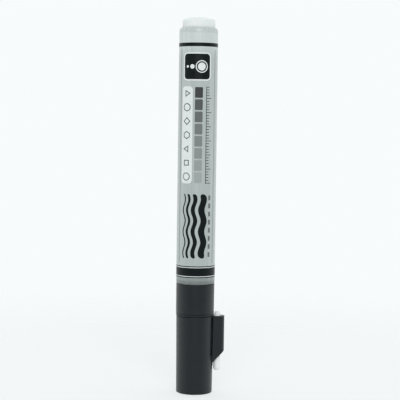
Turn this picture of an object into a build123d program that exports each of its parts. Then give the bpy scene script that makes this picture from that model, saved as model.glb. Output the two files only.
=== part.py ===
from build123d import *
import math
import os

# Valve-action paint marker, standing on the closed end of its cap. Millimetres, +Z up.
# The origin is the middle of the cap's end face, and the pocket clip points along +X.

# Lengths along the axis, from the cap's end face upwards
CAP_FLOOR = 1.8
INNER_CAP_FLOOR = 1.0
NIB_TIP_GAP = 2.2
NIB_EXPOSED = 4.5
NOSE_LENGTH = 11.0
CAP_SEAT_LENGTH = 7.65
COLLAR_LENGTH = 11.55
BARREL_LENGTH = 91.75
STUB_LENGTH = 3.55

# Barrel and label
BARREL_DIAMETER = 13.84
BARREL_WALL = 1.45
BARREL_MOUTH_ROUND = 0.45
SHOULDER_LENGTH = 1.5
SHOULDER_LIP = 0.08
LABEL_THICKNESS = 0.07
LABEL_GLUE = 0.01
LABEL_LOWER_MARGIN = 1.4
LABEL_UPPER_MARGIN = 0.4

# Front section
COLLAR_STEP = 0.01
COLLAR_TAPER = 0.04
SECTION_EDGE_ROUND = 0.2
COLLAR_BAND = 0.72
COLLAR_LINE_DEPTH = 0.12
SPIGOT_CLEARANCE = 0.05
SPIGOT_WALL = 1.2
SNAP_BEAD_HEIGHT = 0.12
SNAP_BEAD_HALF_LENGTH = 0.5
SNAP_BEAD_BELOW_TOP = 1.4
SNAP_CLEARANCE = 0.04
BEAD_CREST_SHARE = 0.25
GRIP_BEAD_HEIGHT = 0.05
GRIP_BEAD_DEPTH = 3.0
NOSE_STEP = 0.7
NOSE_TIP_WALL = 0.6
NOSE_TIP_ROUND = 0.25
NOSE_LIP = 0.6
NOSE_LIP_GAP = 0.2

# Seal between the front section and the barrel
O_RING_SECTION = 0.7
O_RING_CLEARANCE = 0.02
O_RING_ABOVE_COLLAR = 1.8

# Nib and its guide
NIB_DIAMETER = 2.4
NIB_LENGTH = 21.6
NIB_POINT_DIAMETER = 1.7
NIB_TAPER_LENGTH = 1.6
NIB_POINT_ROUND = 0.7
NIB_TAPER_ROUND = 0.8
NIB_END_ROUND = 0.9
NIB_CLEARANCE = 0.06
NIB_TRAVEL = 2.0
GUIDE_LENGTH = 4.0
GUIDE_WALL = 0.55
GUIDE_FIT = 0.03

# Valve
SOCKET_DEPTH = 2.2
SOCKET_FLOOR = 0.8
SOCKET_WALL = 0.6
SOCKET_FIT = 0.02
STOP_GAP = 0.4
STEM_DIAMETER = 2.0
STEM_CLEARANCE = 0.05
STEM_PIN_LENGTH = 5.0
FLOW_GAP = 0.5
FLOW_SLOT_WIDTH = 0.8
FLOW_SLOT_COUNT = 3
SEAT_LAND = 0.7
SEAT_THICKNESS = 1.4
SEAT_MARGIN = 0.1
SEAT_RECESS = 0.6
POPPET_THICKNESS = 1.2
VALVE_CLEARANCE = 0.05
VALVE_WALL = 0.6
VALVE_FLOOR = 1.2
VALVE_LENGTH = 19.0
VALVE_FLANGE = 1.0
FLANGE_INSET = 0.3

# Spring and its cage
SPRING_DIAMETER = 4.2
SPRING_WIRE = 0.4
SPRING_TURNS = 12
SPRING_END_GAP = 0.03
CAGE_CLEARANCE = 0.1
CAGE_WALL = 0.8
CAGE_FLANGE = 0.8
CAGE_RING_DEPTH = 1.6
CAGE_HEIGHT = 3.6
CAGE_TOP = 1.0
CAGE_VENT_DIAMETER = 1.6
WINDOW_WIDTH = 1.6
WINDOW_HEIGHT = 2.4
WINDOW_COUNT = 4

# Mixing ball
BALL_DIAMETER = 6.0
BALL_REST_GAP = 0.02

# Rear plug
PLUG_SPIGOT_LENGTH = 7.0
PLUG_WALL = 1.1
PLUG_TOP = 1.2
PLUG_EDGE_ROUND = 0.5
PLUG_CROWN_WIDTH = 2.6
PLUG_CROWN_DROP = 0.8
PLUG_CROWN_ROUND = 5.0
PLUG_RIB_CLEARANCE = 0.01
PLUG_RIB_HALF_LENGTH = 0.5
PLUG_RIB_PITCH = 2.4
PLUG_RIB_COUNT = 2

# Cap
CAP_STEP = 0.12
CAP_TAPER = 0.25
CAP_WALL = 0.85
CAP_CLEARANCE = 0.08
CAP_BORE_STEP = 0.5
CAP_BORE_MARGIN = 0.3
CAP_END_ROUND = 0.4
CAP_MOUTH_ROUND = 0.2
CAP_MOUTH_GAP = 0.1

# Inner cap
INNER_CAP_HEIGHT = 9.2
INNER_CAP_WALL = 0.8
INNER_CAP_SEAL_GAP = 0.08
INNER_CAP_FIT = 0.05

# Pocket clip with its channel for the spare nib
CLIP_WIDTH = 4.2
CLIP_GAP = 0.25
CLIP_FACE = 1.32
CLIP_FACE_FLAT = 0.4
CLIP_FOOT_FLAT = 0.2
CLIP_SETBACK = 0.05
CLIP_ROOT_HEIGHT = 2.4
CLIP_FACE_LENGTH = 12.8
CLIP_SLANT_DROP = 4.0
CLIP_TAIL_DROP = 2.0
CLIP_TAIL_STEP = 0.15
NIB_STANDOFF = 0.15
SPARE_NIB_PROUD = 1.5

# Places along the axis
nib_tip_z = CAP_FLOOR + INNER_CAP_FLOOR + NIB_TIP_GAP
nose_tip_z = nib_tip_z + NIB_EXPOSED
nose_base_z = nose_tip_z + NOSE_LENGTH
mouth_z = nose_base_z + CAP_SEAT_LENGTH
cap_mouth_z = mouth_z - CAP_MOUTH_GAP
barrel_z = mouth_z + COLLAR_LENGTH
barrel_top_z = barrel_z + BARREL_LENGTH
stub_top_z = barrel_top_z + STUB_LENGTH
shoulder_z = barrel_top_z - SHOULDER_LENGTH
label_z = barrel_z + LABEL_LOWER_MARGIN
label_top_z = shoulder_z - LABEL_UPPER_MARGIN
guide_z = nose_tip_z + NOSE_LIP
guide_top_z = guide_z + GUIDE_LENGTH
nib_rear_z = nib_tip_z + NIB_LENGTH
valve_z = nib_rear_z + SOCKET_FLOOR + NIB_TRAVEL + STOP_GAP
seat_z = valve_z + VALVE_FLOOR
poppet_z = seat_z + SEAT_THICKNESS
poppet_top_z = poppet_z + POPPET_THICKNESS
valve_top_z = valve_z + VALVE_LENGTH
spigot_top_z = valve_top_z - VALVE_FLANGE
cage_flange_top_z = valve_top_z + CAGE_FLANGE
cage_roof_z = cage_flange_top_z + CAGE_HEIGHT
cage_top_z = cage_roof_z + CAGE_TOP
o_ring_z = barrel_z + O_RING_ABOVE_COLLAR
snap_z = spigot_top_z - SNAP_BEAD_BELOW_TOP
grip_z = mouth_z - GRIP_BEAD_DEPTH
clip_top_z = cap_mouth_z - CLIP_SETBACK

# Radii, from the barrel inwards and outwards
barrel_r = BARREL_DIAMETER / 2
bore_r = barrel_r - BARREL_WALL
collar_top_r = barrel_r - COLLAR_STEP
collar_r = collar_top_r - COLLAR_TAPER
mouth_r = collar_r - CAP_STEP
cap_end_r = mouth_r - CAP_TAPER
cap_bore_r = mouth_r - CAP_WALL
cap_seat_r = cap_bore_r - CAP_CLEARANCE
cap_inner_r = cap_bore_r - CAP_BORE_STEP
stub_r = cap_seat_r
spigot_r = bore_r - SPIGOT_CLEARANCE
pocket_r = spigot_r - SPIGOT_WALL
snap_r = spigot_r + SNAP_BEAD_HEIGHT
grip_r = cap_seat_r + GRIP_BEAD_HEIGHT
nib_r = NIB_DIAMETER / 2
channel_r = nib_r + NIB_CLEARANCE
guide_r = channel_r + GUIDE_WALL
guide_seat_r = guide_r + GUIDE_FIT
nose_tip_r = guide_seat_r + NOSE_TIP_WALL
nose_base_r = cap_seat_r - NOSE_STEP
socket_r = nib_r + SOCKET_FIT
stem_r = STEM_DIAMETER / 2
seat_hole_r = stem_r + FLOW_GAP
poppet_r = seat_hole_r + SEAT_LAND
seat_r = poppet_r + SEAT_MARGIN
valve_r = pocket_r - VALVE_CLEARANCE
valve_bore_r = valve_r - VALVE_WALL
flange_r = spigot_r - FLANGE_INSET
spring_r = (SPRING_DIAMETER - SPRING_WIRE) / 2
cage_bore_r = SPRING_DIAMETER / 2 + CAGE_CLEARANCE
cage_r = cage_bore_r + CAGE_WALL
clip_nib_x = mouth_r + NIB_STANDOFF + nib_r
clip_face_x = clip_nib_x + channel_r + CLIP_FACE


def turned(points):
    """Solid turned about Z from a closed outline of (radius, height) points.

    A third value rounds that corner.
    """
    corners = [point[:2] for point in points]
    rounds = [sum(point[2:]) for point in points]
    if any(rounds):
        outline = FilletPolyline(*corners, radius=rounds, close=True)
    else:
        outline = Polyline(*corners, close=True)
    return revolve(Plane.XZ * make_face(outline), Axis.Z)


def ring(inner, outer, low, high):
    """Plain ring of rectangular section about Z."""
    return turned([(inner, low), (outer, low), (outer, high), (inner, high)])


def bead(wall, crest, middle, half_length):
    """Ring with sloping flanks that stands on, or is sunk into, a wall of the given radius."""
    flat = half_length * BEAD_CREST_SHARE
    root = wall - (crest - wall)
    return turned([
        (root, middle - half_length),
        (wall, middle - half_length),
        (crest, middle - flat),
        (crest, middle + flat),
        (wall, middle + half_length),
        (root, middle + half_length),
    ])


def nose_radius(height):
    """Outside radius of the nose cone at a height."""
    return nose_tip_r + (nose_base_r - nose_tip_r) * (height - nose_tip_z) / NOSE_LENGTH


def cap_radius(height):
    """Outside radius of the tapered cap at a height."""
    return cap_end_r + CAP_TAPER * height / cap_mouth_z


def make_barrel():
    """Tube with a rounded front edge, a rounded rear shoulder and a groove for the section's snap bead."""
    rim_r = stub_r + SHOULDER_LIP
    front = Line((bore_r, barrel_z), (barrel_r - BARREL_MOUTH_ROUND, barrel_z))
    edge = RadiusArc(front @ 1, (barrel_r, barrel_z + BARREL_MOUTH_ROUND), -BARREL_MOUTH_ROUND)
    side = Line(edge @ 1, (barrel_r, shoulder_z))
    shoulder = EllipticalCenterArc(
        (rim_r, shoulder_z), barrel_r - rim_r, SHOULDER_LENGTH, start_angle=0, arc_size=90
    )
    rest = Polyline((rim_r, barrel_top_z), (bore_r, barrel_top_z), (bore_r, barrel_z))
    tube = revolve(Plane.XZ * make_face([front, edge, side, shoulder, rest]), Axis.Z)
    groove = bead(bore_r, snap_r + SNAP_CLEARANCE, snap_z, SNAP_BEAD_HALF_LENGTH + SNAP_CLEARANCE)
    return tube - groove


def make_label_film():
    """Printed film round the straight part of the barrel, on a thin line of glue."""
    inner = barrel_r + LABEL_GLUE
    return ring(inner, inner + LABEL_THICKNESS, label_z, label_top_z)


def make_rear_plug():
    """Hollow plug: a crowned stub as wide as the cap's seat, and a ribbed spigot in the barrel."""
    spigot_z = barrel_top_z - PLUG_SPIGOT_LENGTH
    hollow_r = spigot_r - PLUG_WALL
    roof_z = stub_top_z - PLUG_TOP
    plug = turned([
        (hollow_r, spigot_z),
        (spigot_r, spigot_z),
        (spigot_r, barrel_top_z),
        (stub_r, barrel_top_z),
        (stub_r, stub_top_z - PLUG_CROWN_DROP, PLUG_EDGE_ROUND),
        (stub_r - PLUG_CROWN_WIDTH, stub_top_z, PLUG_CROWN_ROUND),
        (0, stub_top_z),
        (0, roof_z),
        (hollow_r, roof_z),
    ])
    for index in range(PLUG_RIB_COUNT):
        middle = spigot_z + PLUG_RIB_PITCH * (index + 0.5)
        plug += bead(spigot_r, bore_r - PLUG_RIB_CLEARANCE, middle, PLUG_RIB_HALF_LENGTH)
    return plug


def make_mixing_ball():
    """Loose steel ball, at rest on the spring cage."""
    return Pos(0, 0, cage_top_z + BALL_REST_GAP + BALL_DIAMETER / 2) * Sphere(BALL_DIAMETER / 2)


def make_front_section():
    """Hollow moulding: nose cone, cap seat, collar that shows, and spigot in the barrel."""
    body = turned([
        (guide_seat_r, guide_z),
        (channel_r + NOSE_LIP_GAP, guide_z),
        (channel_r + NOSE_LIP_GAP, nose_tip_z),
        (nose_tip_r, nose_tip_z, NOSE_TIP_ROUND),
        (nose_base_r, nose_base_z),
        (cap_seat_r, nose_base_z, SECTION_EDGE_ROUND),
        (cap_seat_r, mouth_z),
        (collar_r, mouth_z, SECTION_EDGE_ROUND),
        (collar_top_r, barrel_z, SECTION_EDGE_ROUND),
        (spigot_r, barrel_z),
        (spigot_r, spigot_top_z),
        (pocket_r, spigot_top_z),
        (pocket_r, nose_base_z),
        (guide_seat_r, guide_top_z),
    ])
    body += bead(spigot_r, snap_r, snap_z, SNAP_BEAD_HALF_LENGTH)
    body += bead(cap_seat_r, grip_r, grip_z, SNAP_BEAD_HALF_LENGTH)
    groove_r = bore_r - O_RING_SECTION - 2 * O_RING_CLEARANCE
    groove_half = O_RING_SECTION / 2 + O_RING_CLEARANCE
    body -= ring(groove_r, bore_r, o_ring_z - groove_half, o_ring_z + groove_half)
    line_z = mouth_z + COLLAR_BAND
    line_r = collar_r + COLLAR_TAPER * COLLAR_BAND / COLLAR_LENGTH
    body -= bead(line_r, line_r - COLLAR_LINE_DEPTH, line_z, COLLAR_LINE_DEPTH)
    return body


def make_section_o_ring():
    """Rubber ring in the groove of the spigot."""
    section_r = O_RING_SECTION / 2
    return Pos(0, 0, o_ring_z) * Torus(bore_r - O_RING_CLEARANCE - section_r, section_r)


def make_nib_guide():
    """Bush in the nose that the nib slides through."""
    return ring(channel_r, guide_r, guide_z, guide_top_z)


def nib_solid():
    """Fibre nib with its point at the origin, pointing down."""
    return turned([
        (0, 0),
        (NIB_POINT_DIAMETER / 2, 0, NIB_POINT_ROUND),
        (nib_r, NIB_TAPER_LENGTH, NIB_TAPER_ROUND),
        (nib_r, NIB_LENGTH, NIB_END_ROUND),
        (0, NIB_LENGTH),
    ])


def make_nib():
    """Writing nib in the nose."""
    return Pos(0, 0, nib_tip_z) * nib_solid()


def make_spare_nib():
    """Second nib, point up, in the channel of the clip."""
    return Pos(clip_nib_x, 0, mouth_z + SPARE_NIB_PROUD) * Rot(180, 0, 0) * nib_solid()


def make_valve_stem():
    """Plunger: socket on the nib's end, stem, flat disc that closes the seat, pin in the spring."""
    outer = socket_r + SOCKET_WALL
    return turned([
        (socket_r, nib_rear_z - SOCKET_DEPTH),
        (outer, nib_rear_z - SOCKET_DEPTH),
        (outer, nib_rear_z + SOCKET_FLOOR),
        (stem_r, nib_rear_z + SOCKET_FLOOR),
        (stem_r, poppet_z),
        (poppet_r, poppet_z),
        (poppet_r, poppet_top_z),
        (stem_r, poppet_top_z),
        (stem_r, poppet_top_z + STEM_PIN_LENGTH),
        (0, poppet_top_z + STEM_PIN_LENGTH),
        (0, nib_rear_z),
        (socket_r, nib_rear_z),
    ])


def make_valve_body():
    """Cup with a flange on the spigot's end, a recess for the seat, and flow slots in its floor."""
    hole_r = stem_r + STEM_CLEARANCE
    recess_r = seat_r + VALVE_CLEARANCE
    cup = turned([
        (hole_r, valve_z),
        (valve_r, valve_z),
        (valve_r, spigot_top_z),
        (flange_r, spigot_top_z),
        (flange_r, valve_top_z),
        (valve_bore_r, valve_top_z),
        (valve_bore_r, seat_z + SEAT_RECESS),
        (recess_r, seat_z + SEAT_RECESS),
        (recess_r, seat_z),
        (hole_r, seat_z),
    ])
    slot_z = valve_z + VALVE_FLOOR / 2
    slot = Pos(seat_hole_r / 2, 0, slot_z) * Box(seat_hole_r, FLOW_SLOT_WIDTH, VALVE_FLOOR)
    for index in range(FLOW_SLOT_COUNT):
        cup -= Rot(0, 0, 360 / FLOW_SLOT_COUNT * index) * slot
    return cup


def make_valve_seat():
    """Soft ring in the recess of the valve body, under the disc."""
    return ring(seat_hole_r, seat_r, seat_z, poppet_z)


def make_valve_spring():
    """Coil spring between the valve disc and the roof of the cage."""
    low = poppet_top_z + SPRING_WIRE / 2 + SPRING_END_GAP
    high = cage_roof_z - SPRING_WIRE / 2 - SPRING_END_GAP
    pitch = (high - low) / SPRING_TURNS
    path = Helix(pitch, high - low, spring_r, center=(0, 0, low))
    wire = sweep(Plane(origin=path @ 0, z_dir=path % 0) * Circle(SPRING_WIRE / 2), path, is_frenet=True)
    length = SPRING_TURNS * math.hypot(2 * math.pi * spring_r, pitch)
    section = math.pi * SPRING_WIRE**2 / 4
    print("spring gap between turns", round(pitch - SPRING_WIRE, 3), "mm")
    print("spring volume", round(wire.volume, 3), "section times length", round(section * length, 3))
    return wire


def make_spring_cage():
    """Windowed lid: ring in the valve body, flange on it, and a tower that holds the spring."""
    cage = turned([
        (cage_bore_r, valve_top_z - CAGE_RING_DEPTH),
        (valve_bore_r - VALVE_CLEARANCE, valve_top_z - CAGE_RING_DEPTH),
        (valve_bore_r - VALVE_CLEARANCE, valve_top_z),
        (flange_r, valve_top_z),
        (flange_r, cage_flange_top_z),
        (cage_r, cage_flange_top_z),
        (cage_r, cage_top_z),
        (CAGE_VENT_DIAMETER / 2, cage_top_z),
        (CAGE_VENT_DIAMETER / 2, cage_roof_z),
        (cage_bore_r, cage_roof_z),
    ])
    window_z = cage_flange_top_z + WINDOW_HEIGHT / 2
    window = Pos(cage_r / 2, 0, window_z) * Box(cage_r, WINDOW_WIDTH, WINDOW_HEIGHT)
    for index in range(WINDOW_COUNT):
        cage -= Rot(0, 0, 360 / WINDOW_COUNT * index) * window
    return cage


def make_clip():
    """Pocket clip: channel for the spare nib, free at the mouth, rooted on the cap by a slanted end."""
    slant_z = mouth_z - CLIP_FACE_LENGTH
    root_z = slant_z - CLIP_SLANT_DROP
    tail_z = root_z - CLIP_TAIL_DROP
    tail_x = cap_radius(root_z) + CLIP_TAIL_STEP
    side = Plane.XZ * make_face(Polyline(
        (0, clip_top_z),
        (clip_face_x, clip_top_z),
        (clip_face_x, slant_z),
        (tail_x, root_z),
        (cap_radius(tail_z), tail_z),
        (0, tail_z),
        close=True,
    ))
    half = CLIP_WIDTH / 2
    block = extrude(side, half, both=True)
    plan = Pos(clip_face_x / 2, 0) * Rectangle(clip_face_x, CLIP_WIDTH)
    corners = plan.vertices().group_by(Axis.X)[-1]
    block &= Pos(0, 0, tail_z) * extrude(fillet(corners, half - CLIP_FACE_FLAT / 2), clip_top_z - tail_z)
    front = Rectangle(CLIP_WIDTH, clip_top_z - tail_z)
    feet = front.vertices().group_by(Axis.Y)[0]
    front_face = Plane.YZ * Pos(0, (clip_top_z + tail_z) / 2) * fillet(feet, half - CLIP_FOOT_FLAT / 2)
    block &= extrude(front_face, clip_face_x)
    slot_z = root_z + CLIP_ROOT_HEIGHT
    slot_depth = mouth_z - slot_z
    block -= turned([
        (0, slot_z),
        (cap_radius(slot_z) + CLIP_GAP, slot_z),
        (cap_radius(mouth_z) + CLIP_GAP, mouth_z),
        (0, mouth_z),
    ])
    channel_length = clip_top_z - tail_z
    block -= Pos(clip_nib_x, 0, tail_z) * extrude(Circle(channel_r), channel_length)
    block -= Pos(clip_nib_x / 2, 0, slot_z) * extrude(Rectangle(clip_nib_x, 2 * channel_r), slot_depth)
    return block


def make_cap_shell():
    """Tapered cap with a grip groove in its mouth, and the pocket clip on its side."""
    step_z = nose_base_z - CAP_BORE_MARGIN
    shell = turned([
        (0, 0),
        (cap_end_r, 0, CAP_END_ROUND),
        (mouth_r, cap_mouth_z, CAP_MOUTH_ROUND),
        (0, cap_mouth_z),
    ])
    hollow = turned([
        (0, CAP_FLOOR),
        (cap_inner_r, CAP_FLOOR),
        (cap_inner_r, step_z),
        (cap_bore_r, step_z),
        (cap_bore_r, cap_mouth_z),
        (0, cap_mouth_z),
    ])
    groove = bead(cap_bore_r, cap_bore_r + GRIP_BEAD_HEIGHT, grip_z, SNAP_BEAD_HALF_LENGTH)
    return shell + make_clip() - hollow - groove


def make_inner_cap():
    """Cup that closes round the nose and keeps the nib from drying."""
    rim_z = CAP_FLOOR + INNER_CAP_FLOOR + INNER_CAP_HEIGHT
    inner = nose_radius(rim_z) + INNER_CAP_SEAL_GAP
    floor_top = CAP_FLOOR + INNER_CAP_FLOOR
    return turned([
        (0, CAP_FLOOR),
        (cap_inner_r - INNER_CAP_FIT, CAP_FLOOR),
        (cap_inner_r - INNER_CAP_FIT, floor_top),
        (inner + INNER_CAP_WALL, floor_top),
        (inner + INNER_CAP_WALL, rim_z),
        (inner, rim_z),
        (inner, floor_top),
        (0, floor_top),
    ])


PIECES = {
    "barrel": make_barrel,
    "label_film": make_label_film,
    "rear_plug": make_rear_plug,
    "mixing_ball": make_mixing_ball,
    "front_section": make_front_section,
    "section_o_ring": make_section_o_ring,
    "nib_guide": make_nib_guide,
    "nib": make_nib,
    "valve_stem": make_valve_stem,
    "valve_body": make_valve_body,
    "valve_seat": make_valve_seat,
    "valve_spring": make_valve_spring,
    "spring_cage": make_spring_cage,
    "cap_shell": make_cap_shell,
    "inner_cap": make_inner_cap,
    "spare_nib": make_spare_nib,
}

os.makedirs("parts", exist_ok=True)
for name, make in PIECES.items():
    export_step(make(), f"parts/{name}.step")
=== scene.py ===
# %% [markdown]
# # A paint marker standing on its cap
# A valve-action paint marker is a tube of paint with a fibre nib under its cap. The frame below is the
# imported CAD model: every piece is already in its place, in metres, with the marker's axis on Z and its
# clip towards +X. This lesson gives each piece its finish, prints a label round the barrel, and lights
# the marker as for a catalogue.

# %% Load the frame
import math

import bmesh
import bpy
from mathutils import Matrix, Vector


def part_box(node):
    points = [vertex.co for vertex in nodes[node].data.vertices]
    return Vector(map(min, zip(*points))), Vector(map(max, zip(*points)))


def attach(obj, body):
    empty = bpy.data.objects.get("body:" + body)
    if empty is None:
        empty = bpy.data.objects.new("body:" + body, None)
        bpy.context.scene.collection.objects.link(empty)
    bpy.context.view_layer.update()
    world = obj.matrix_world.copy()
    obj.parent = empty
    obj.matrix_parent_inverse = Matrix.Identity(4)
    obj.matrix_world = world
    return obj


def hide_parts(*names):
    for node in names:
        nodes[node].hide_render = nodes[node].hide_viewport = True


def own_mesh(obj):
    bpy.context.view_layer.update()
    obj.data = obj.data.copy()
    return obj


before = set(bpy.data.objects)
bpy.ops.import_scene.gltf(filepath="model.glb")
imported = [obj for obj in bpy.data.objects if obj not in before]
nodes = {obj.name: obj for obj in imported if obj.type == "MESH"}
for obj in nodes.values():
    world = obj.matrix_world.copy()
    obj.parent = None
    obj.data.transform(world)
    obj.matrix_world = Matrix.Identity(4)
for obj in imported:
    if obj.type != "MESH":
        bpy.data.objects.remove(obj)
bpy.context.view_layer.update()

MM = 0.001
scene = bpy.context.scene

# %% [markdown]
# ## Camera
# A small object is photographed with a long lens, so that its sides stay nearly parallel. The camera
# looks along +Y and a little down, and it leans by less than one degree. It could be put in place by
# hand, but here its place is worked out from the point that it aims at, so distance, pitch and lean can
# each be changed alone.

# %% Place the camera
LENS = 112.5
AIM = Vector((1.27, 0.0, 69.8)) * MM
DISTANCE = 450.5 * MM
PITCH = math.radians(3.62)
LEAN = math.radians(0.8)
NEAREST = 10 * MM

camera_data = bpy.data.cameras.new("camera")
camera_data.lens = LENS
camera_data.clip_start = NEAREST
camera = bpy.data.objects.new("camera", camera_data)
towards_camera = Vector((0, -math.cos(PITCH), math.sin(PITCH)))
camera.location = AIM + DISTANCE * towards_camera
upright = Matrix.Rotation(math.radians(90) - PITCH, 3, "X")
camera.rotation_euler = (upright @ Matrix.Rotation(LEAN, 3, "Z")).to_euler()
scene.collection.objects.link(camera)
scene.camera = camera
print("camera at", [round(c, 4) for c in camera.location])

# %% [markdown]
# ## Studio light
# Black gloss shows the room more than the lamp: the cap is darkest in the middle, where it mirrors the
# dim side of the room behind the camera, and brightens towards its rims, where it mirrors the white
# backdrop. So the world is one soft gradient, grey on the camera's side and white behind and below the
# marker. The same world is the backdrop that the camera sees, so the reflections agree with it.

# %% Make the world
ROOM_DIM = 0.42
ROOM_WHITE = 0.97
ROOM_TINT = (0.97, 0.995, 1.0)
TO_BACKDROP = (-0.04, 0.9, -0.45)
GRADIENT = (-0.8, 0.2)


def carry(tree, value, given, wanted, way="LINEAR"):
    """Carries a value from one range to another, each a low and a high."""
    node = tree.nodes.new("ShaderNodeMapRange")
    node.interpolation_type = way
    node.inputs["From Min"].default_value = given[0]
    node.inputs["From Max"].default_value = given[1]
    node.inputs["To Min"].default_value = wanted[0]
    node.inputs["To Max"].default_value = wanted[1]
    tree.links.new(value, node.inputs["Value"])
    return node


scene.view_settings.view_transform = "Standard"
world = bpy.data.worlds.new("studio")
world.use_nodes = True
scene.world = world
sky = world.node_tree
direction = sky.nodes.new("ShaderNodeTexCoord")
facing = sky.nodes.new("ShaderNodeVectorMath")
facing.operation = "DOT_PRODUCT"
facing.inputs[1].default_value = TO_BACKDROP
sky.links.new(direction.outputs["Generated"], facing.inputs[0])
brightness = carry(sky, facing.outputs["Value"], GRADIENT, (ROOM_DIM, ROOM_WHITE), "SMOOTHSTEP")
room = sky.nodes["Background"]
room.inputs["Color"].default_value = (*ROOM_TINT, 1)
sky.links.new(brightness.outputs["Result"], room.inputs["Strength"])
print("room from", ROOM_DIM, "to", ROOM_WHITE)

# %% [markdown]
# Two soft boxes give the marker its form. The large one hangs high in front and lights the label, and
# the weaker one hangs behind and draws a soft shadow towards the camera. A soft box is a square area
# lamp, and the wider it is, the softer the edge of its shadow.

# %% Hang the soft boxes
def hang_soft_box(name, place, size, power):
    """Square area lamp that faces the marker."""
    data = bpy.data.lights.new(name, "AREA")
    data.shape = "SQUARE"
    data.size = size
    data.energy = power
    lamp = bpy.data.objects.new(name, data)
    lamp.location = place
    lamp.rotation_euler = (AIM - lamp.location).to_track_quat("-Z", "Y").to_euler()
    scene.collection.objects.link(lamp)
    print(name, size, "m wide at", place)


hang_soft_box("front_soft_box", (0.05, -1.05, 0.67), size=0.7, power=6.8)
hang_soft_box("back_soft_box", (-0.05, 0.7, 0.85), size=0.6, power=0.7)

# %% [markdown]
# ## Floor
# The marker stands on a sheet of white tracing paper that runs out of the picture. Near the marker the
# paper is half clear: its matt surface takes a soft shadow, and the white room below keeps that shadow
# faint, as on a light table. Further away it grows clear, so paper and backdrop meet without a line. An
# opaque floor would need more light to be as white as the backdrop, and the marker would get too much
# of it.

# %% Lay the paper
PAPER_SIZE = 4.0

paper_form = bmesh.new()
bmesh.ops.create_grid(paper_form, x_segments=1, y_segments=1, size=PAPER_SIZE / 2)
paper_mesh = bpy.data.meshes.new("paper")
paper_form.to_mesh(paper_mesh)
paper_form.free()
paper = bpy.data.objects.new("paper", paper_mesh)
scene.collection.objects.link(paper)
print("paper", PAPER_SIZE, "m wide")

# %% Make the paper half clear
PAPER_WHITE = (0.92, 0.935, 0.94)
PAPER_CLEAR = 0.62
PAPER_NEAR, PAPER_FAR = 0.06, 0.30


def new_finish(name, roughness, specular=0.5):
    """New material and its shader, with a gloss that is the same all over."""
    finish = bpy.data.materials.new(name)
    finish.use_nodes = True
    shader = finish.node_tree.nodes["Principled BSDF"]
    shader.inputs["Roughness"].default_value = roughness
    shader.inputs["Specular IOR Level"].default_value = specular
    return finish, shader


paper_finish, shader = new_finish("paper", roughness=0.95, specular=0.1)
shader.inputs["Base Color"].default_value = (*PAPER_WHITE, 1)
tree = paper_finish.node_tree
place = tree.nodes.new("ShaderNodeTexCoord")
reach = tree.nodes.new("ShaderNodeVectorMath")
reach.operation = "LENGTH"
tree.links.new(place.outputs["Object"], reach.inputs[0])
fade = carry(tree, reach.outputs["Value"], (PAPER_NEAR, PAPER_FAR), (PAPER_CLEAR, 1.0), "SMOOTHSTEP")
clear = tree.nodes.new("ShaderNodeBsdfTransparent")
mix = tree.nodes.new("ShaderNodeMixShader")
tree.links.new(fade.outputs["Result"], mix.inputs[0])
tree.links.new(shader.outputs[0], mix.inputs[1])
tree.links.new(clear.outputs[0], mix.inputs[2])
tree.links.new(mix.outputs[0], tree.nodes["Material Output"].inputs["Surface"])
paper_mesh.materials.append(paper_finish)
print("paper clear by", PAPER_CLEAR, "up to", PAPER_NEAR, "m and fully from", PAPER_FAR, "m")

# %% [markdown]
# ## Tools for finishes
# No moulded surface is one flat colour. Each finish below starts from one shader and gets a few grains
# of noise in the piece's own coordinates: a wide one that shifts the colour, a middle one that dulls
# and polishes the gloss, and a fine one that raises a relief. Painted images could do this too, but
# noise has no seams, and its size in millimetres keeps a grain at the same scale on every piece.

# %% Make a grain
def grain(finish, size, stretch=(1, 1, 1), detail=2.0):
    """Noise with lumps of about size millimetres, longer along the axes with a larger stretch."""
    tree = finish.node_tree
    place = tree.nodes.new("ShaderNodeTexCoord")
    fit = tree.nodes.new("ShaderNodeMapping")
    fit.inputs["Scale"].default_value = [1 / (size * MM * s) for s in stretch]
    lumps = tree.nodes.new("ShaderNodeTexNoise")
    lumps.inputs["Scale"].default_value = 1.0
    lumps.inputs["Detail"].default_value = detail
    tree.links.new(place.outputs["Object"], fit.inputs["Vector"])
    tree.links.new(fit.outputs["Vector"], lumps.inputs["Vector"])
    return lumps.outputs["Fac"]


print("a grain of 1 mm has a scale of", round(1 / MM))

# %% Lay a grain on a finish
GRAIN_RANGE = (0.3, 0.7)


def colour_by(finish, shader, fac, dark, light, between=GRAIN_RANGE):
    """Base colour between two tones, by a grain that mostly stays in the given range."""
    tones = finish.node_tree.nodes.new("ShaderNodeValToRGB")
    for element, share, tone in zip(tones.color_ramp.elements, between, (dark, light)):
        element.position = share
        element.color = (*tone, 1)
    finish.node_tree.links.new(fac, tones.inputs["Fac"])
    finish.node_tree.links.new(tones.outputs["Color"], shader.inputs["Base Color"])


def gloss_by(finish, shader, fac, low, high):
    """Roughness between two values, by a grain."""
    roughness = carry(finish.node_tree, fac, GRAIN_RANGE, (low, high))
    finish.node_tree.links.new(roughness.outputs["Result"], shader.inputs["Roughness"])


def relief_by(finish, shader, fac, height):
    """Bump of the given height in millimetres, by a grain."""
    bump = finish.node_tree.nodes.new("ShaderNodeBump")
    bump.inputs["Distance"].default_value = height * MM
    finish.node_tree.links.new(fac, bump.inputs["Height"])
    finish.node_tree.links.new(bump.outputs["Normal"], shader.inputs["Normal"])


def dress(finish, *names):
    """Gives CAD nodes a finish in place of their plain one."""
    for name in names:
        nodes[name].data.materials.clear()
        nodes[name].data.materials.append(finish)
    print(finish.name, "on", ", ".join(names))


print("grains are taken to stay between", *GRAIN_RANGE)

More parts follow.
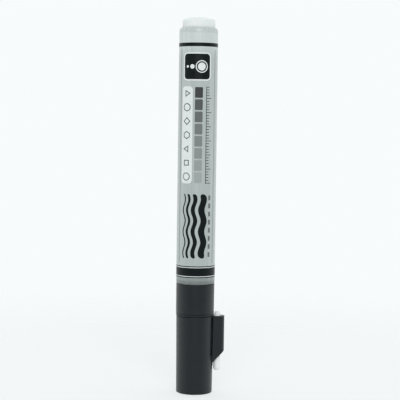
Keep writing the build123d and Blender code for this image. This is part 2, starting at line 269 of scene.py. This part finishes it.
# %% [markdown]
# ## Black moulded plastic
# The cap with its clip and the collar above it are moulded in the same black plastic, with a satin skin
# from a finely eroded mould. The black is a little blue-grey, the gloss wanders over a few millimetres,
# and the skin has a relief of some thousandths of a millimetre that only shows as a softer highlight.

# %% Finish the cap and the collar
BLACK_DEEP = (0.0016, 0.0052, 0.0076)
BLACK_PALE = (0.0026, 0.0070, 0.0098)

black_plastic, shader = new_finish("black_plastic", roughness=0.36)
colour_by(black_plastic, shader, grain(black_plastic, 9.0), BLACK_DEEP, BLACK_PALE)
gloss_by(black_plastic, shader, grain(black_plastic, 2.5, detail=4.0), 0.32, 0.4)
relief_by(black_plastic, shader, grain(black_plastic, 0.12), 0.004)
dress(black_plastic, "cap_shell", "front_section")

# %% [markdown]
# ## Pale mouldings
# The barrel is a translucent tube, so the black section inside shows through its bare front lip as a
# grey band, and its rear shoulder stays pale. Clear plastic with the real depth of light would need
# many more samples, so the tone follows the height on the barrel, with fine streaks along it, and only
# a little light passes through. At the lip's front edge the tone is darker still: that is painted shade
# of the groove where the lip meets the collar.

# %% Finish the barrel
STREAKS = (0.92, 1.06)
BARREL_TONES_AND_SEAM_SHADE = (
    # painted shade: the first tone darkens the lip's front edge, in the groove beside the collar
    (0.0, (0.15, 0.178, 0.178)),
    (0.008, (0.23, 0.265, 0.262)),
    (0.03, (0.26, 0.298, 0.294)),
    (0.12, (0.62, 0.69, 0.68)),
    (1.0, (0.64, 0.71, 0.70)),
)


def colour_by_height(finish, shader, low, high, tones, streaks):
    """Base colour by tones at shares of the height from low to high, with streaks laid over it."""
    tree = finish.node_tree
    place = tree.nodes.new("ShaderNodeTexCoord")
    axes = tree.nodes.new("ShaderNodeSeparateXYZ")
    tree.links.new(place.outputs["Object"], axes.inputs[0])
    share_of_height = carry(tree, axes.outputs["Z"], (low, high), (0.0, 1.0))
    ramp = tree.nodes.new("ShaderNodeValToRGB")
    while len(ramp.color_ramp.elements) < len(tones):
        ramp.color_ramp.elements.new(0.5)
    for element, (share, tone) in zip(ramp.color_ramp.elements, tones):
        element.position = share
        element.color = (*tone, 1)
    tree.links.new(share_of_height.outputs["Result"], ramp.inputs["Fac"])
    strength = carry(tree, streaks, GRAIN_RANGE, STREAKS)
    mixed = tree.nodes.new("ShaderNodeMix")
    mixed.data_type = "RGBA"
    mixed.blend_type = "MULTIPLY"
    mixed.inputs["Factor"].default_value = 1.0
    tree.links.new(ramp.outputs["Color"], mixed.inputs["A"])
    tree.links.new(strength.outputs["Result"], mixed.inputs["B"])
    tree.links.new(mixed.outputs["Result"], shader.inputs["Base Color"])


barrel_plastic, shader = new_finish("barrel_plastic", roughness=0.3)
barrel_low, barrel_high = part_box("barrel")
streaks = grain(barrel_plastic, 1.2, (1, 1, 8))
colour_by_height(barrel_plastic, shader, barrel_low.z, barrel_high.z, BARREL_TONES_AND_SEAM_SHADE, streaks)
gloss_by(barrel_plastic, shader, grain(barrel_plastic, 1.5), 0.26, 0.36)
relief_by(barrel_plastic, shader, grain(barrel_plastic, 0.3, (1, 1, 8)), 0.004)
shader.inputs["Transmission Weight"].default_value = 0.12
shader.inputs["IOR"].default_value = 1.49
dress(barrel_plastic, "barrel")

# %% [markdown]
# The plug at the rear end is natural plastic without pigment: milky, and brightest where light passes
# through its edge. Subsurface light gives that glow, over about a millimetre. The cap's liner and the
# nib's guide are moulded in the same plastic.

# %% Finish the plug
NATURAL_DEEP = (0.82, 0.875, 0.865)
NATURAL_PALE = (0.865, 0.915, 0.905)

natural_plastic, shader = new_finish("natural_plastic", roughness=0.5, specular=0.12)
colour_by(natural_plastic, shader, grain(natural_plastic, 4.0), NATURAL_DEEP, NATURAL_PALE)
gloss_by(natural_plastic, shader, grain(natural_plastic, 1.2), 0.45, 0.58)
relief_by(natural_plastic, shader, grain(natural_plastic, 0.25), 0.004)
shader.inputs["Subsurface Weight"].default_value = 0.25
shader.inputs["Subsurface Radius"].default_value = (1.0 * MM, 1.2 * MM, 1.2 * MM)
shader.inputs["Subsurface Scale"].default_value = 1.0
dress(natural_plastic, "rear_plug", "inner_cap", "nib_guide")

# %% [markdown]
# ## Fibre nibs
# A nib is a rod of bonded polyester fibres. They run along the rod, so the noise is stretched along Z:
# fine furrows in the relief, and a faint streak in the white. Single fibres are far too thin to model.

# %% Finish the nibs
FIBRE_DEEP = (0.87, 0.895, 0.895)
FIBRE_PALE = (0.92, 0.945, 0.945)

nib_fibre, shader = new_finish("nib_fibre", roughness=0.85, specular=0.3)
colour_by(nib_fibre, shader, grain(nib_fibre, 0.16, (1, 1, 30), 3.0), FIBRE_DEEP, FIBRE_PALE)
gloss_by(nib_fibre, shader, grain(nib_fibre, 0.6, (1, 1, 4)), 0.75, 0.95)
relief_by(nib_fibre, shader, grain(nib_fibre, 0.07, (1, 1, 40), 3.0), 0.008)
shader.inputs["Sheen Weight"].default_value = 0.15
shader.inputs["Sheen Roughness"].default_value = 0.5
dress(nib_fibre, "nib", "spare_nib")

# %% [markdown]
# ## Inside pieces
# The valve is hidden, but it shows when the marker is taken apart: white acetal for the valve, and soft
# black rubber for the seals. Both are dull, so their grains are small and shallow.

# %% Finish the valve and the seals
valve_plastic, shader = new_finish("valve_plastic", roughness=0.35)
colour_by(valve_plastic, shader, grain(valve_plastic, 3.0), (0.72, 0.72, 0.69), (0.78, 0.78, 0.75))
gloss_by(valve_plastic, shader, grain(valve_plastic, 0.8), 0.3, 0.42)
relief_by(valve_plastic, shader, grain(valve_plastic, 0.2), 0.003)
dress(valve_plastic, "valve_stem", "valve_body", "spring_cage")

seal_rubber, shader = new_finish("seal_rubber", roughness=0.7, specular=0.35)
colour_by(seal_rubber, shader, grain(seal_rubber, 1.0), (0.012, 0.012, 0.013), (0.022, 0.022, 0.023))
gloss_by(seal_rubber, shader, grain(seal_rubber, 0.5), 0.6, 0.8)
relief_by(seal_rubber, shader, grain(seal_rubber, 0.08), 0.004)
dress(seal_rubber, "section_o_ring", "valve_seat")

# %% [markdown]
# The spring is drawn steel wire, with streaks round its coils, and the mixing ball is polished steel.
# Metal has no colour below its surface, so the shader's metallic value is one, and the grains mostly
# change the gloss.

# %% Finish the spring and the ball
spring_steel, shader = new_finish("spring_steel", roughness=0.3)
shader.inputs["Metallic"].default_value = 1.0
colour_by(spring_steel, shader, grain(spring_steel, 0.5), (0.52, 0.52, 0.51), (0.66, 0.66, 0.65))
gloss_by(spring_steel, shader, grain(spring_steel, 0.1, (6, 6, 1)), 0.22, 0.38)
relief_by(spring_steel, shader, grain(spring_steel, 0.05, (10, 10, 1)), 0.002)
dress(spring_steel, "valve_spring")

ball_steel, shader = new_finish("ball_steel", roughness=0.12)
shader.inputs["Metallic"].default_value = 1.0
colour_by(ball_steel, shader, grain(ball_steel, 2.0), (0.68, 0.69, 0.70), (0.76, 0.77, 0.78))
gloss_by(ball_steel, shader, grain(ball_steel, 0.4, detail=5.0), 0.08, 0.2)
relief_by(ball_steel, shader, grain(ball_steel, 0.15, (1, 8, 1)), 0.001)
dress(ball_steel, "mixing_ball")

# %% [markdown]
# ## Spring as one skin
# When the nib is pressed, the valve rises and the spring between it and its cage gets shorter. A copy
# takes the spring's place: its triangles are merged into one skin.

# %% Make a piece
SHARP_ANGLE = math.radians(35)


def make_piece(form, name, finish, body="pen"):
    """Turns a finished bmesh into a piece that rides on a body."""
    mesh = bpy.data.meshes.new(name)
    form.to_mesh(mesh)
    form.free()
    if "custom_normal" in mesh.attributes:
        mesh.attributes.remove(mesh.attributes["custom_normal"])
    mesh.shade_smooth()
    mesh.set_sharp_from_angle(angle=SHARP_ANGLE)
    mesh.materials.append(finish)
    piece = bpy.data.objects.new(name, mesh)
    scene.collection.objects.link(piece)
    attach(piece, body)
    print(name, len(mesh.polygons), "faces")
    return piece


print("edges past", round(math.degrees(SHARP_ANGLE)), "degrees stay sharp")

# %% Copy the spring
MERGE = 0.0001 * MM


def merged_copy(node):
    """Copy of a CAD node's mesh as one skin."""
    form = bmesh.new()
    form.from_mesh(nodes[node].data)
    bmesh.ops.remove_doubles(form, verts=form.verts, dist=MERGE)
    return form


spring = make_piece(merged_copy("valve_spring"), "spring_coil", spring_steel)
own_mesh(spring)
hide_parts("valve_spring")

# %% [markdown]
# ## Clean rounds on the cap
# The triangles on the cap's small rounds are uneven, so a highlight along the rim would flicker. A copy
# with merged triangles takes the cap's place. Which way a point of a turned round faces is known:
# straight away from the middle of its arc. Those directions are given to the corners on both rounds,
# and the rest of the cap shades as usual.

# %% Smooth the cap's rounds
RIM_ROUND = 0.2 * MM
END_ROUND = 0.4 * MM
HAIR = 0.01 * MM

cap_low, cap_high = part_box("cap_shell")
cap = make_piece(merged_copy("cap_shell"), "cap_skin", black_plastic, body="cap")
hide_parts("cap_shell")
directions = [corner.vector.copy() for corner in cap.data.corner_normals]
points = [cap.data.vertices[corner.vertex_index].co for corner in cap.data.loops]
turned = 0
for flat_z, size, side in ((cap_high.z, RIM_ROUND, 1), (cap_low.z, END_ROUND, -1)):
    flat_r = max(point.xy.length for point in points if abs(point.z - flat_z) < HAIR)
    for index, point in enumerate(points):
        out = point.xy.length - flat_r
        up = point.z - (flat_z - side * size)
        if -HAIR < out < size + HAIR and up * side > -HAIR:
            away = (point.xy.normalized() * out).to_3d() + Vector((0, 0, up))
            directions[index] = away.normalized()
            turned += 1
cap.data.normals_split_custom_set(directions)
print("corners on the rounds", turned)

# %% [markdown]
# ## Label film
# The label is a thin printed film round the barrel. It stays inside the size of its CAD ring: the bare
# film is drawn a few hundredths thinner, and the inks fill up that space. A rectangle is spun once
# round the axis, because a closed ring has an inside and edges, which a plain sheet hasn't.

# %% Spin a ring
RING_STEPS = 180


def spin_ring(inner, outer, low, high):
    """Closed ring of rectangular section about Z."""
    ring = bmesh.new()
    section = ((inner, low), (outer, low), (outer, high), (inner, high))
    corners = [ring.verts.new((r, 0, z)) for r, z in section]
    sides = [ring.edges.new((corners[i], corners[i - 1])) for i in range(4)]
    bmesh.ops.spin(
        ring,
        geom=corners + sides,
        cent=(0, 0, 0),
        axis=(0, 0, 1),
        angle=math.tau,
        steps=RING_STEPS,
        use_merge=True,
    )
    bmesh.ops.remove_doubles(ring, verts=ring.verts, dist=MERGE)
    bmesh.ops.recalc_face_normals(ring, faces=ring.faces)
    return ring


print("a ring has", RING_STEPS, "steps")

# %% [markdown]
# The film is slightly see-through, so it is paler over the plug's spigot at the rear and darker over
# the black section at the front. As on the barrel, that comes from the height on the marker, softened
# at both ends, with fine streaks along it. A thin clear coat gives the film its satin sheen.

# %% Wrap the film
FILM_RADIUS = 6.962 * MM
FILM_GAP = 0.005 * MM
FILM_TONES = (
    (0.0, (0.265, 0.302, 0.298)),
    (0.014, (0.29, 0.332, 0.327)),
    (0.055, (0.46, 0.52, 0.51)),
    (0.90, (0.48, 0.54, 0.53)),
    (0.955, (0.62, 0.69, 0.68)),
)

label_low, label_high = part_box("label_film")


def new_film(name, tones):
    """Satin film whose tone follows the height on the marker."""
    film, shader = new_finish(name, roughness=0.3)
    streaks = grain(film, 1.1, (1, 1, 40), 4.0)
    colour_by_height(film, shader, label_low.z, label_high.z, tones, streaks)
    gloss_by(film, shader, grain(film, 3.0, (1, 1, 3)), 0.26, 0.36)
    relief_by(film, shader, grain(film, 0.5, (1, 1, 20)), 0.004)
    shader.inputs["Coat Weight"].default_value = 0.3
    shader.inputs["Coat Roughness"].default_value = 0.2
    return film


label_print = new_film("label_print", FILM_TONES)
film_form = spin_ring(barrel_high.x + FILM_GAP, FILM_RADIUS, label_low.z, label_high.z)
label = make_piece(film_form, "label", label_print)
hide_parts("label_film")
print("label from", round(label_low.z / MM, 2), "to", round(label_high.z / MM, 2))

# %% [markdown]
# ## Printing tools
# A print is drawn flat first, with x round the barrel and y along it, from plain shapes: panels with
# rounded corners, discs, rings and waves. Drawing flat keeps the motifs readable as sizes in
# millimetres.

# %% Draw flat shapes
CORNER_STEPS = 6


def shape_faces(drawing, build):
    """Faces that a build step adds to a drawing."""
    before = set(drawing.faces)
    build()
    return [face for face in drawing.faces if face not in before]


def draw_panel(drawing, x, y, width, height, corner=0.0):
    """Rectangle with rounded corners, its middle at x, y."""
    def build():
        size = Matrix.Diagonal((width * MM, height * MM, 1, 1))
        place = Matrix.Translation(Vector((x, y, 0)) * MM) @ size
        panel = bmesh.ops.create_grid(drawing, x_segments=1, y_segments=1, size=0.5, matrix=place)
        if corner:
            bmesh.ops.bevel(
                drawing,
                geom=panel["verts"],
                offset=corner * MM,
                segments=CORNER_STEPS,
                profile=0.5,
                affect="VERTICES",
                material=-1,
            )
    return shape_faces(drawing, build)


def draw_disc(drawing, x, y, radius, sides=40, turn=0.0):
    """Disc, or a regular shape with few sides."""
    def build():
        turned = Matrix.Rotation(math.radians(turn), 4, "Z")
        place = Matrix.Translation(Vector((x, y, 0)) * MM) @ turned
        bmesh.ops.create_circle(drawing, cap_ends=True, segments=sides, radius=radius * MM, matrix=place)
    return shape_faces(drawing, build)


def keep_outline(drawing, faces, line):
    """Leaves a border of the given width of a shape."""
    bmesh.ops.inset_region(
        drawing, faces=faces, thickness=line * MM, use_boundary=True, use_even_offset=True
    )
    bmesh.ops.delete(drawing, geom=faces, context="FACES")


print("a rounded corner has", CORNER_STEPS, "steps")

# %% [markdown]
# The drawing is then cut into narrow strips by upright planes, rolled round the axis, and given the
# thickness of an ink layer. The strips let a flat face follow the round barrel, and the thickness makes
# the ink a closed body that any program can show, where a picture on the film would have to be
# stretched over it.

# %% Roll a drawing round the barrel
STRIP = 0.4 * MM
SNAP = 0.002 * MM
INK_THICKNESS = 0.008 * MM


def cut_strips(drawing):
    """Cuts a drawing by upright planes, one strip apart."""
    reach = [point.co.x for point in drawing.verts]
    for strip in range(math.ceil(min(reach) / STRIP), math.floor(max(reach) / STRIP) + 1):
        parts = drawing.verts[:] + drawing.edges[:] + drawing.faces[:]
        cut = (strip * STRIP, 0, 0)
        bmesh.ops.bisect_plane(drawing, geom=parts, dist=SNAP, plane_co=cut, plane_no=(1, 0, 0))


def print_ink(drawing, name, finish, layer=1):
    """Rolls a flat drawing round the barrel as a closed layer of ink."""
    bmesh.ops.remove_doubles(drawing, verts=drawing.verts, dist=MERGE)
    cut_strips(drawing)
    radius = FILM_RADIUS + layer * INK_THICKNESS
    for point in drawing.verts:
        turn = point.co.x / FILM_RADIUS
        point.co = (radius * math.sin(turn), -radius * math.cos(turn), point.co.y)
    bmesh.ops.recalc_face_normals(drawing, faces=drawing.faces)
    drawing.normal_update()
    flat = Vector((1, 1, 0))
    outward = sum(face.normal.dot(face.calc_center_median() * flat) for face in drawing.faces)
    if outward < 0:
        bmesh.ops.reverse_faces(drawing, faces=drawing.faces)
    bmesh.ops.solidify(drawing, geom=drawing.faces[:], thickness=(layer + 0.5) * INK_THICKNESS)
    return make_piece(drawing, name, finish)


print("a layer of ink is", INK_THICKNESS / MM, "mm thick, in strips of", STRIP / MM, "mm")

# %% [markdown]
# ## Inks
# Screen ink is thick and slightly rough. Black, grey and white inks are separate finishes with a fine
# mottle, because ink never dries quite evenly. The black is matter than the others, so it mirrors less
# of the room.

# %% Mix the inks
INK_GLOSS = (0.3, 0.42)


def give_tooth(ink, shader):
    """Uneven gloss and a fine tooth, as on dried ink."""
    gloss_by(ink, shader, grain(ink, 1.5), *INK_GLOSS)
    relief_by(ink, shader, grain(ink, 0.1), 0.002)


def new_ink(name, dark, light, specular=0.5):
    """Screen ink with a mottle."""
    ink, shader = new_finish(name, 0.35, specular)
    colour_by(ink, shader, grain(ink, 0.8, detail=4.0), dark, light)
    give_tooth(ink, shader)
    print(name, "mixed")
    return ink


ink_black = new_ink("ink_black", (0.0015, 0.0055, 0.0062), (0.003, 0.0075, 0.0083), specular=0.2)
ink_grey = new_ink("ink_grey", (0.11, 0.125, 0.125), (0.14, 0.155, 0.155))
ink_pale = new_ink("ink_pale", (0.24, 0.272, 0.27), (0.28, 0.315, 0.31))
ink_white = new_ink("ink_white", (0.77, 0.82, 0.82), (0.84, 0.88, 0.88))

# %% [markdown]
# ## Bands
# A thin black line rings the label near the rear end, and a broad black band with two white lines
# closes it at the front. Each goes all the way round, so it is a ring, spun like the film.

# %% Print the bands
LINE_LOW, LINE_HIGH = 124.5, 125.8
BAND_LOW, BAND_HIGH = 42.3, 46.5
WHITE_LINE, WHITE_INSET = 0.24, 0.5


def print_band(name, low, high, finish, layer):
    """Ring of ink round the label."""
    outer = FILM_RADIUS + layer * INK_THICKNESS
    inner = FILM_RADIUS - 0.5 * INK_THICKNESS
    return make_piece(spin_ring(inner, outer, low * MM, high * MM), name, finish)


print_band("print_line", LINE_LOW, LINE_HIGH, ink_black, layer=2)
print_band("print_band", BAND_LOW, BAND_HIGH, ink_black, layer=2)
for index, middle in enumerate((BAND_LOW + WHITE_INSET, BAND_HIGH - WHITE_INSET)):
    edges = (middle - WHITE_LINE / 2, middle + WHITE_LINE / 2)
    print_band(f"print_band_line_{index}", *edges, ink_white, layer=3)

# %% [markdown]
# ## Front of the label
# The front says what the marker does without a word: dots for the size of the point, a ladder of greys,
# outlined signs for surfaces to paint on, a scale, and sample strokes from thin to thick. The dots
# stand on a black panel with a white border. White ink goes over black, so it is one layer higher.

# %% Print the dot panel
PANEL_X, PANEL_Y, PANEL_WIDTH, PANEL_HEIGHT = -0.4, 117.4, 9.6, 9.0
BORDER = 0.45
DOTS = ((-3.5, 0.45), (-1.7, 0.8), (1.7, 1.4))
RING_RADIUS, RING_LINE, RING_SIDES = 2.2, 0.35, 60

drawing = bmesh.new()
draw_panel(drawing, PANEL_X, PANEL_Y, PANEL_WIDTH, PANEL_HEIGHT, corner=1.2)
print_ink(drawing, "print_dot_panel", ink_black)

drawing = bmesh.new()
outside = (PANEL_WIDTH + 2 * BORDER, PANEL_HEIGHT + 2 * BORDER)
keep_outline(drawing, draw_panel(drawing, PANEL_X, PANEL_Y, *outside, corner=1.6), BORDER)
for place, radius in DOTS:
    draw_disc(drawing, PANEL_X + place, PANEL_Y, radius)
ring = draw_disc(drawing, PANEL_X + DOTS[-1][0], PANEL_Y, RING_RADIUS, RING_SIDES)
keep_outline(drawing, ring, RING_LINE)
print_ink(drawing, "print_dots", ink_white, layer=2)

# %% [markdown]
# The ladder of greys is one drawing with one ink, whose tone goes up in equal steps with the height.
# Eight inks would give the same picture with more to keep in order.

# %% Mix the ladder's ink
LADDER_LOW, LADDER_STEPS, LADDER_PITCH = 76.0, 8, 4.3
LADDER_LENGTH = LADDER_STEPS * LADDER_PITCH
LADDER_PALE = (0.36, 0.405, 0.40)
LADDER_DARK = (0.03, 0.034, 0.035)

ink_ladder, shader = new_finish("ink_ladder", roughness=0.35)
tree = ink_ladder.node_tree
place = tree.nodes.new("ShaderNodeTexCoord")
axes = tree.nodes.new("ShaderNodeSeparateXYZ")
tree.links.new(place.outputs["Object"], axes.inputs[0])
heights = (LADDER_LOW * MM, (LADDER_LOW + LADDER_LENGTH) * MM)
rungs = carry(tree, axes.outputs["Z"], heights, (0.0, 1.0), "STEPPED")
rungs.inputs["Steps"].default_value = LADDER_STEPS - 1
colour_by(ink_ladder, shader, rungs.outputs["Result"], LADDER_PALE, LADDER_DARK, between=(0.0, 1.0))
give_tooth(ink_ladder, shader)
print("ladder of", LADDER_STEPS, "greys")

# %% Print the grey ladder
LADDER_X, LADDER_WIDTH, LADDER_GAP = 0.4, 2.8, 0.5

drawing = bmesh.new()
for step in range(LADDER_STEPS):
    height = LADDER_LOW + (step + 0.5) * LADDER_PITCH
    draw_panel(drawing, LADDER_X, height, LADDER_WIDTH, LADDER_PITCH - LADDER_GAP, corner=0.35)
print_ink(drawing, "print_grey_ladder", ink_ladder)

# %% [markdown]
# The signs are outlines of regular shapes on a white panel. A disc with three, four or six sides is a
# triangle, a square or a hexagon, so one tool draws them all.

# %% Print the sign panel
SIGN_X, SIGN_WIDTH, SIGN_RADIUS, SIGN_LINE = -4.0, 4.4, 1.45, 0.34
SIGN_SIDES_AND_TURNS = ((48, 0), (4, 45), (3, 90), (6, 0), (4, 0), (48, 0), (3, 30))
LADDER_MIDDLE = LADDER_LOW + LADDER_LENGTH / 2

drawing = bmesh.new()
draw_panel(drawing, SIGN_X, LADDER_MIDDLE, SIGN_WIDTH, LADDER_LENGTH, corner=1.4)
print_ink(drawing, "print_sign_panel", ink_white)

drawing = bmesh.new()
sign_pitch = LADDER_LENGTH / len(SIGN_SIDES_AND_TURNS)
for index, (sides, turn) in enumerate(SIGN_SIDES_AND_TURNS):
    height = LADDER_LOW + (index + 0.5) * sign_pitch
    keep_outline(drawing, draw_disc(drawing, SIGN_X, height, SIGN_RADIUS, sides, turn), SIGN_LINE)
print_ink(drawing, "print_signs", ink_grey, layer=2)

# %% [markdown]
# The scale is a thin line with a tick at every millimetre and a longer one at every fifth. An array of
# copies would do too, but its ticks would all be of one length, so a loop draws them one by one.

# %% Print the scale
SCALE_X, SCALE_LINE, SCALE_START = 3.2, 0.22, 0.2
TICK_SHORT, TICK_LONG, LONG_EVERY = 1.1, 2.0, 5

drawing = bmesh.new()
draw_panel(drawing, SCALE_X, LADDER_MIDDLE, SCALE_LINE, LADDER_LENGTH)
for tick in range(int(LADDER_LENGTH) + 1):
    length = TICK_SHORT if tick % LONG_EVERY else TICK_LONG
    place = SCALE_X + SCALE_LINE / 2 + length / 2
    draw_panel(drawing, place, LADDER_LOW + SCALE_START + tick, length, SCALE_LINE)
print_ink(drawing, "print_scale", ink_black)

# %% [markdown]
# The sample strokes are wavy lines of paint, from thin to thick. A narrow grid is bent sideways by a
# sine, and its width runs out in a round at both ends, as where a nib is set down and lifted.

# %% Print the sample strokes
STROKE_Y, STROKE_LENGTH, STROKE_SWING, STROKE_WAVES = 60.8, 23.0, 0.45, 3
STROKES = ((-4.6, 0.5), (-3.0, 0.9), (-0.8, 1.5), (2.3, 2.4))
WAVE_STEPS = 180


def draw_wave(drawing, x, y, length, width, swing, waves):
    """Wavy stroke along the barrel with round ends, its middle at x, y."""
    grid = bmesh.ops.create_grid(drawing, x_segments=1, y_segments=WAVE_STEPS, size=0.5)
    for point in grid["verts"]:
        along = point.co.y
        from_end = (0.5 - abs(along)) * length / (width / 2)
        taper = math.sqrt(max(0.0, 1 - max(0.0, 1 - from_end) ** 2))
        sway = swing * math.sin(along * waves * math.tau)
        point.co = Vector((x + point.co.x * width * taper + sway, y + along * length, 0)) * MM


drawing = bmesh.new()
for place, width in STROKES:
    draw_wave(drawing, place, STROKE_Y, STROKE_LENGTH, width, STROKE_SWING, STROKE_WAVES)
print_ink(drawing, "print_strokes", ink_black)

# %% [markdown]
# Beside the strokes runs a row of small blocks, and a pale rule edges the front on each side. They are
# panels again, with a small corner on the blocks and none on the rules, which are only a few tenths
# wide.

# %% Print the blocks and the side rules
BLOCK_X, BLOCK_COUNT, BLOCK_PITCH = 5.0, 8, 2.9
BLOCK_WIDTH, BLOCK_HEIGHT = 0.9, 1.7
RULE_X, RULE_WIDTH, RULE_LOW, RULE_HIGH = 7.0, 0.4, 47.6, 123.4

drawing = bmesh.new()
for block in range(BLOCK_COUNT):
    height = STROKE_Y + (block - (BLOCK_COUNT - 1) / 2) * BLOCK_PITCH
    draw_panel(drawing, BLOCK_X, height, BLOCK_WIDTH, BLOCK_HEIGHT, corner=0.15)
print_ink(drawing, "print_blocks", ink_grey)

drawing = bmesh.new()
for side in (-1, 1):
    draw_panel(drawing, side * RULE_X, (RULE_LOW + RULE_HIGH) / 2, RULE_WIDTH, RULE_HIGH - RULE_LOW)
print_ink(drawing, "print_side_rules", ink_pale)

# %% [markdown]
# ## Back of the label
# The back shows how the marker is used, in three framed pictures from the rear end down: shake it,
# press the nib until paint flows, and draw. Each picture is put together from the same panels, discs
# and waves, so it matches the front.

# %% Frame the three pictures
PICTURE_LOW, PICTURE_PITCH, PICTURE_WIDTH, PICTURE_HEIGHT = 62.0, 19.0, 11.0, 17.0
FRAME_LINE = 0.35
BACK_X = math.pi * FILM_RADIUS / MM
pictures = [PICTURE_LOW + (index + 0.5) * PICTURE_PITCH for index in range(3)]

drawing = bmesh.new()
for height in pictures:
    panel = draw_panel(drawing, BACK_X, height, PICTURE_WIDTH, PICTURE_HEIGHT, corner=1.4)
    keep_outline(drawing, panel, FRAME_LINE)
print_ink(drawing, "print_picture_frames", ink_grey)

# %% Print the three pictures
WAVES = ((-2.2, 1.6), (2.2, 0.8))
ARROW_SIDE, ARROW_LENGTH, ARROW_HEAD = 3.4, 5.0, 1.0


def draw_arrow(drawing, x, y, towards):
    """Arrow along the barrel with its middle at x, y; towards is 1 for the rear end, -1 for the front."""
    tip = y + towards * (ARROW_LENGTH - ARROW_HEAD) / 2
    draw_disc(drawing, x, tip, ARROW_HEAD, sides=3, turn=0.0 if towards > 0 else 180.0)
    draw_panel(drawing, x, y - towards * ARROW_HEAD / 2, 0.6 * ARROW_HEAD, ARROW_LENGTH - ARROW_HEAD)


drawing = bmesh.new()
draw_y, press_y, shake_y = pictures
for place, width in WAVES:
    draw_wave(drawing, BACK_X + place, draw_y, length=12.0, width=width, swing=0.9, waves=2)
draw_panel(drawing, BACK_X, press_y + 3.6, width=3.0, height=7.0, corner=0.6)
draw_panel(drawing, BACK_X, press_y - 1.6, width=1.5, height=2.6, corner=0.5)
draw_panel(drawing, BACK_X, press_y - 4.6, width=8.0, height=0.6, corner=0.2)
draw_panel(drawing, BACK_X, shake_y, width=3.0, height=12.0, corner=0.8)
for side in (-ARROW_SIDE, ARROW_SIDE):
    draw_arrow(drawing, BACK_X + side, press_y + 1.6, towards=-1)
    draw_arrow(drawing, BACK_X + side, shake_y + 3.0, towards=1)
    draw_arrow(drawing, BACK_X + side, shake_y - 3.0, towards=-1)
print_ink(drawing, "print_pictures", ink_black)

# %% [markdown]
# ## Overlap
# On one side the film overlaps itself by a strip, where it is glued and a little denser. The strip is a
# panel as long as the label, rolled on like an ink, in the film's own finish with darker tones.

# %% Lay the overlap
OVERLAP_X, OVERLAP_WIDTH, OVERLAP_TONE = -12.4, 2.4, 0.9

overlap_tones = [(share, [OVERLAP_TONE * part for part in tone]) for share, tone in FILM_TONES]
film_overlap = new_film("film_overlap", overlap_tones)
drawing = bmesh.new()
label_middle = (label_low.z + label_high.z) / 2 / MM
label_length = (label_high.z - label_low.z) / MM
draw_panel(drawing, OVERLAP_X, label_middle, OVERLAP_WIDTH, label_length)
print_ink(drawing, "label_overlap", film_overlap)
